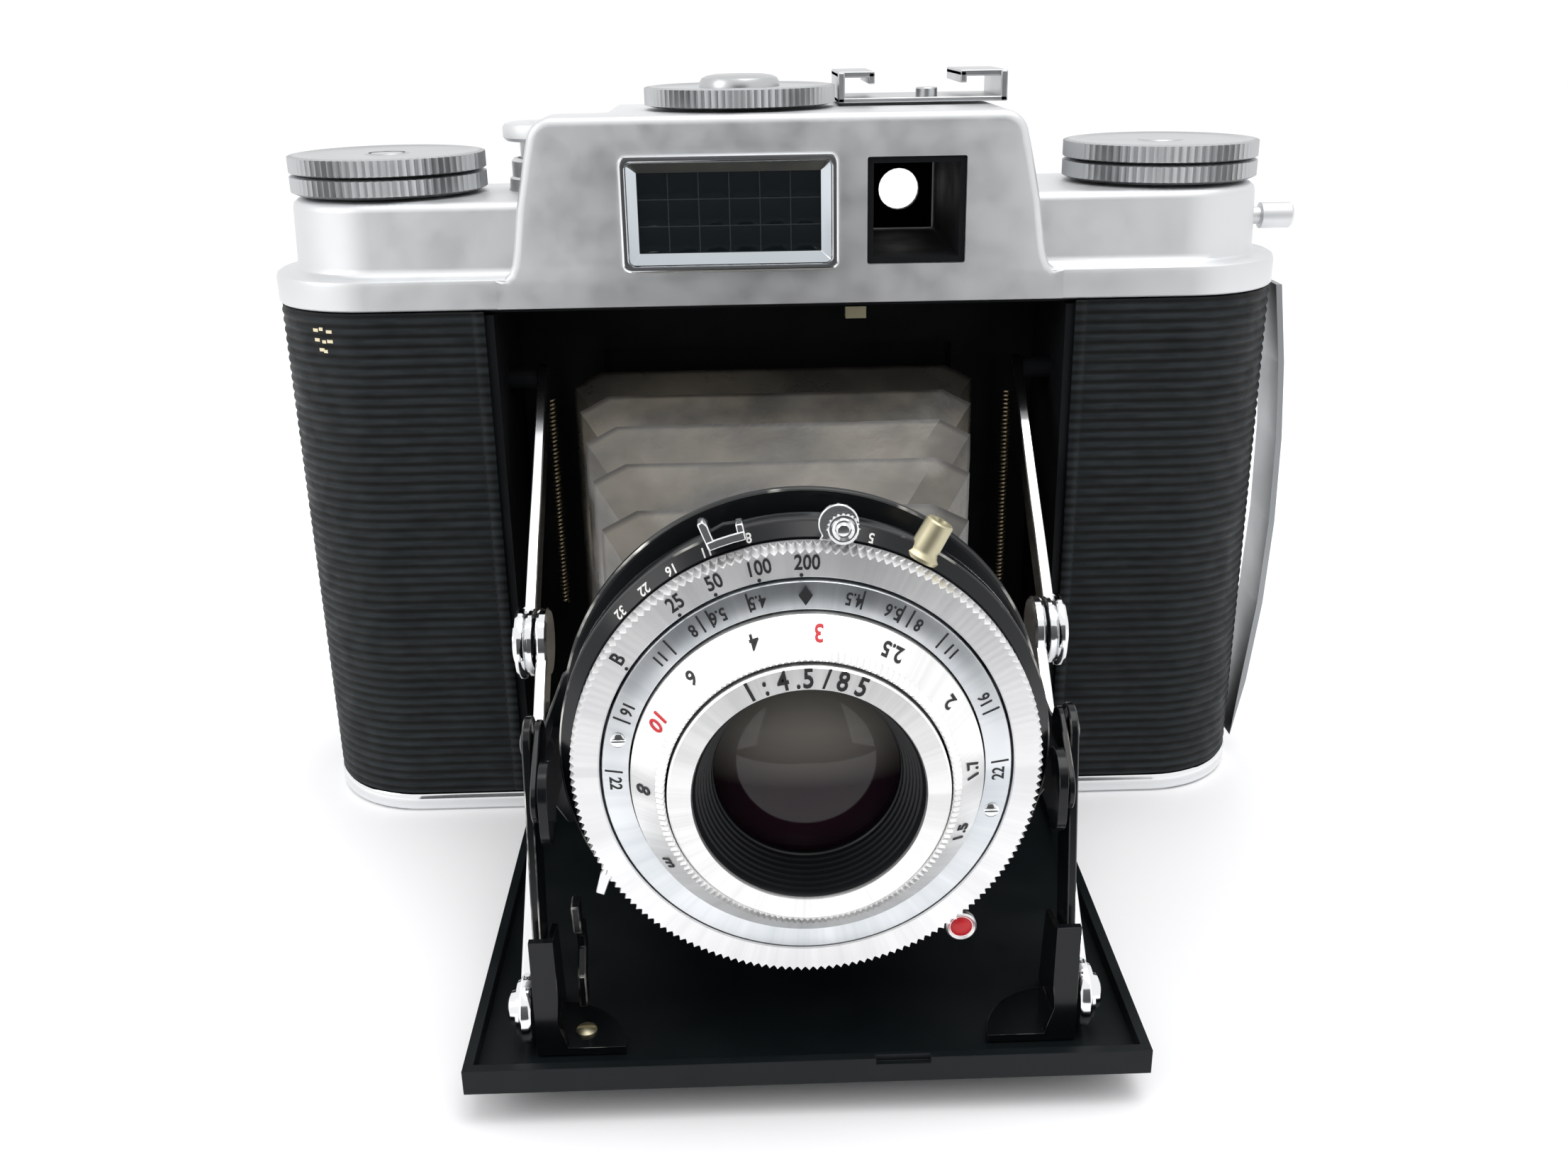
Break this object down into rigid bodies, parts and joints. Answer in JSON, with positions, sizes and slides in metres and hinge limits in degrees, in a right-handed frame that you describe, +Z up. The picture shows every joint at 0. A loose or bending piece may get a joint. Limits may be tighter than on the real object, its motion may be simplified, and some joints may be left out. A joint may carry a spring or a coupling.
{
  "type": "folding camera",
  "caption": "Pocket folding camera with drop bed, pleated bellows, ringed lens shutter, folding struts and a domed metal top housing with meter and finder windows.",
  "frame": {"origin": "centre of the body on the plane it stands on", "axes": "+X to the viewer's right when facing the lens (the body's length), -Y the way the lens looks, +Z up"},
  "size_m": [0.1543, 0.1073, 0.1114],
  "materials": {
    "satin_metal": "satin, matte-blasted with bright edges",
    "bright_chrome": "bright plated",
    "black_enamel": "gloss black enamel on steel",
    "matt_black": "matt black paint",
    "ribbed_leather": "fine horizontal ribs",
    "brass": "dulled brass and nickel",
    "bellows_cloth": "thin glossy pleated skin",
    "meter_window": "dark lens grid behind glass",
    "red_glass": "deep red window",
    "coated_glass": "purple-brown coating"
  },
  "bodies": {
    "camera": {"bottom_plate": "bright_chrome", "tripod_bush": "bright_chrome", "film_chamber_left": "matt_black", "film_chamber_right": "matt_black", "front_leather_left": "ribbed_leather", "front_leather_right": "ribbed_leather", "film_gate": "matt_black", "top_deck": "matt_black", "top_housing": "satin_metal", "meter_frame": "bright_chrome", "meter_glass": "meter_window", "viewfinder_tube": "matt_black", "eyepiece": "matt_black", "accessory_shoe": "bright_chrome", "release_collar": "satin_metal", "strap_stud": "bright_chrome", "bellows": "bellows_cloth", "back_hinge_pin": "bright_chrome", "bed_hinge_pin": "bright_chrome", "spring_left": "brass", "spring_right": "brass"},
    "bed": {"bed_door": "black_enamel", "bed_leather": "ribbed_leather", "bracket_left": "black_enamel", "bracket_right": "black_enamel"},
    "side_arms": {"arm_left": "black_enamel", "arm_right": "black_enamel"},
    "ear_links": {"ear_link_left": "black_enamel", "ear_link_right": "black_enamel"},
    "standard": {"lens_standard": "black_enamel", "shutter_housing": "black_enamel", "scale_ring": "satin_metal", "rear_cell": "matt_black", "sync_socket": "brass"},
    "upper_struts": {"strut_upper_left": "bright_chrome", "strut_upper_right": "bright_chrome"},
    "lower_struts": {"strut_lower_left": "bright_chrome", "strut_lower_right": "bright_chrome"},
    "back": {"back_door": "ribbed_leather", "pressure_plate": "matt_black", "red_window": "red_glass"},
    "latch": {"back_latch": "bright_chrome"},
    "cover": {"window_cover": "matt_black"},
    "winder": {"winding_knob": "satin_metal", "take_up_spool": "matt_black"},
    "rewind_knob": {"spool_knob": "satin_metal"},
    "reminder": {"reminder_dial": "satin_metal"},
    "supply": {"supply_spool": "matt_black"},
    "exposure": {"exposure_dial": "satin_metal"},
    "button": {"release_button": "satin_metal"},
    "shutter_arm": {"release_arm": "black_enamel"},
    "trip": {"trip_lever": "bright_chrome"},
    "speed": {"speed_ring": "satin_metal"},
    "focus": {"focus_ring": "satin_metal"},
    "front_lens": {"front_cell": "satin_metal", "front_glass": "coated_glass"},
    "aperture": {"aperture_lever": "bright_chrome"},
    "cocking": {"cocking_lever": "bright_chrome"},
    "self_timer": {"self_timer_lever": "bright_chrome"},
    "catch": {"door_catch": "bright_chrome"}
  },
  "joints": [
    {"name": "door_fold", "type": "hinge", "parent": "camera", "child": "bed", "pos_m": [0, -0.0165, 0.0055], "axis": [-1, 0, 0], "range_deg": [0, 90], "deforming": ["bellows"]},
    {"name": "arm_swing", "type": "hinge", "parent": "bed", "child": "side_arms", "pos_m": [0, -0.0808, 0.0154], "axis": [-1, 0, 0], "range_deg": [0, 90]},
    {"name": "link_swing", "type": "hinge", "parent": "side_arms", "child": "ear_links", "pos_m": [0, -0.0761, 0.0418], "axis": [-1, 0, 0], "range_deg": [-270, 0]},
    {"name": "standard_level", "type": "hinge", "parent": "ear_links", "child": "standard", "pos_m": [0, -0.0818, 0.0377], "axis": [-1, 0, 0], "range_deg": [0, 90]},
    {"name": "strut_upper_swing", "type": "hinge", "parent": "camera", "child": "upper_struts", "pos_m": [0, -0.006, 0.0683], "axis": [-1, 0, 0], "range_deg": [-49.39, 0]},
    {"name": "strut_lower_swing", "type": "hinge", "parent": "bed", "child": "lower_struts", "pos_m": [0, -0.0825, 0.0103], "axis": [-1, 0, 0], "range_deg": [0, 33.81]},
    {"name": "back_swing", "type": "hinge", "parent": "camera", "child": "back", "pos_m": [-0.0744, -0.0004, 0], "axis": [0, 0, 1], "range_deg": [0, 110]},
    {"name": "latch_flex", "type": "hinge", "parent": "back", "child": "latch", "pos_m": [0.0754, -0.0004, 0.004], "axis": [0, 1, 0], "range_deg": [0, 6], "stiffness_Nm_per_rad": 0.3, "springref_deg": -1.15},
    {"name": "window_slide", "type": "slide", "parent": "back", "child": "cover", "axis": [1, 0, 0], "range_m": [0, 0.012]},
    {"name": "winding_turn", "type": "hinge", "parent": "camera", "child": "winder", "pos_m": [0.0576, 0.0007, 0.0957], "axis": [0, 0, 1], "continuous": true},
    {"name": "spool_knob_lift", "type": "slide", "parent": "camera", "child": "rewind_knob", "axis": [0, 0, 1], "range_m": [0, 0.006]},
    {"name": "reminder_turn", "type": "hinge", "parent": "rewind_knob", "child": "reminder", "pos_m": [-0.0576, 0.0007, 0.0986], "axis": [0, 0, 1], "continuous": true},
    {"name": "supply_turn", "type": "hinge", "parent": "camera", "child": "supply", "pos_m": [-0.0576, 0.0007, 0.008], "axis": [0, 0, 1], "continuous": true},
    {"name": "exposure_turn", "type": "hinge", "parent": "camera", "child": "exposure", "pos_m": [-0.0052, 0, 0.107], "axis": [0, 0, 1], "range_deg": [-140, 140]},
    {"name": "button_press", "type": "slide", "parent": "camera", "child": "button", "axis": [0, 0, -1], "range_m": [0, 0.002]},
    {"name": "release_swing", "type": "hinge", "parent": "bed", "child": "shutter_arm", "pos_m": [-0.0264, -0.08, 0.009], "axis": [1, 0, 0], "range_deg": [0, 12]},
    {"name": "trip_swing", "type": "hinge", "parent": "standard", "child": "trip", "pos_m": [0.0004, -0.082, 0.0416], "axis": [0, -1, 0], "range_deg": [0, 10.1]},
    {"name": "speed_turn", "type": "hinge", "parent": "standard", "child": "speed", "pos_m": [0.0004, -0.084, 0.0416], "axis": [0, -1, 0], "range_deg": [0, 75]},
    {"name": "focus_turn", "type": "hinge", "parent": "standard", "child": "focus", "pos_m": [0.0004, -0.084, 0.0416], "axis": [0, -1, 0], "range_deg": [0, 240]},
    {"name": "cell_retract", "type": "slide", "parent": "focus", "child": "front_lens", "axis": [0, 1, 0], "range_m": [0, 0.0012]},
    {"name": "aperture_set", "type": "hinge", "parent": "standard", "child": "aperture", "pos_m": [0.0004, -0.0796, 0.0416], "axis": [0, -1, 0], "range_deg": [0, 40]},
    {"name": "cocking_swing", "type": "hinge", "parent": "standard", "child": "cocking", "pos_m": [0.0004, -0.0832, 0.0416], "axis": [0, -1, 0], "range_deg": [0, 40], "stiffness_Nm_per_rad": 0.02, "springref_deg": -5.73},
    {"name": "self_timer_swing", "type": "hinge", "parent": "standard", "child": "self_timer", "pos_m": [0.0004, -0.0832, 0.0416], "axis": [0, -1, 0], "range_deg": [-55, 0], "stiffness_Nm_per_rad": 0.02, "springref_deg": 5.73},
    {"name": "catch_slide", "type": "slide", "parent": "camera", "child": "catch", "axis": [0, 1, 0], "range_m": [0, 0.0015], "stiffness_N_per_m": 300, "springref_m": -0.0005}
  ],
  "couplings": [
    {"joint": "arm_swing", "follows": "door_fold", "ratio": 1},
    {"joint": "link_swing", "follows": "door_fold", "ratio": -3},
    {"joint": "standard_level", "follows": "door_fold", "ratio": 1},
    {"joint": "strut_upper_swing", "follows": "door_fold", "ratio": -0.54872},
    {"joint": "strut_lower_swing", "follows": "door_fold", "ratio": 0.37561},
    {"joint": "release_swing", "follows": "button_press", "rad_per_m": 104.72},
    {"joint": "trip_swing", "follows": "button_press", "rad_per_m": 87.266},
    {"joint": "cell_retract", "follows": "focus_turn", "m_per_rad": 0.00028648}
  ]
}
